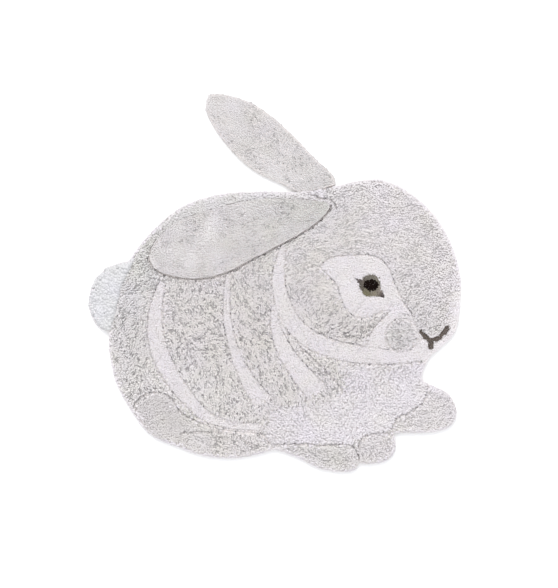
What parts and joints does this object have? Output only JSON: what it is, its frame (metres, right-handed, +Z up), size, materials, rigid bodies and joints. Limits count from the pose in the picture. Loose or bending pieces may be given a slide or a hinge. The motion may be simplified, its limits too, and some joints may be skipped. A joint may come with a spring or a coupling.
{
  "type": "rabbit shaped children's rug",
  "caption": "Flat cut-pile floor rug in the outline of a crouching rabbit, with carved creases and two ear flaps.",
  "frame": {"origin": "on the floor, at the middle of the whole rug's length and width", "axes": "+Z up through the pile, +Y towards the tip of the far ear, +X towards the rabbit's nose"},
  "size_m": [1.1914, 1.2098, 0.0253],
  "materials": {
    "coat": "cut cotton pile, warm pale grey, matt",
    "ears": "short smooth cotton pile, warm pale grey, matt"
  },
  "bodies": {
    "root": {"rug_body": "coat", "ear_near": "ears", "ear_far": "ears"}
  },
  "joints": []
}
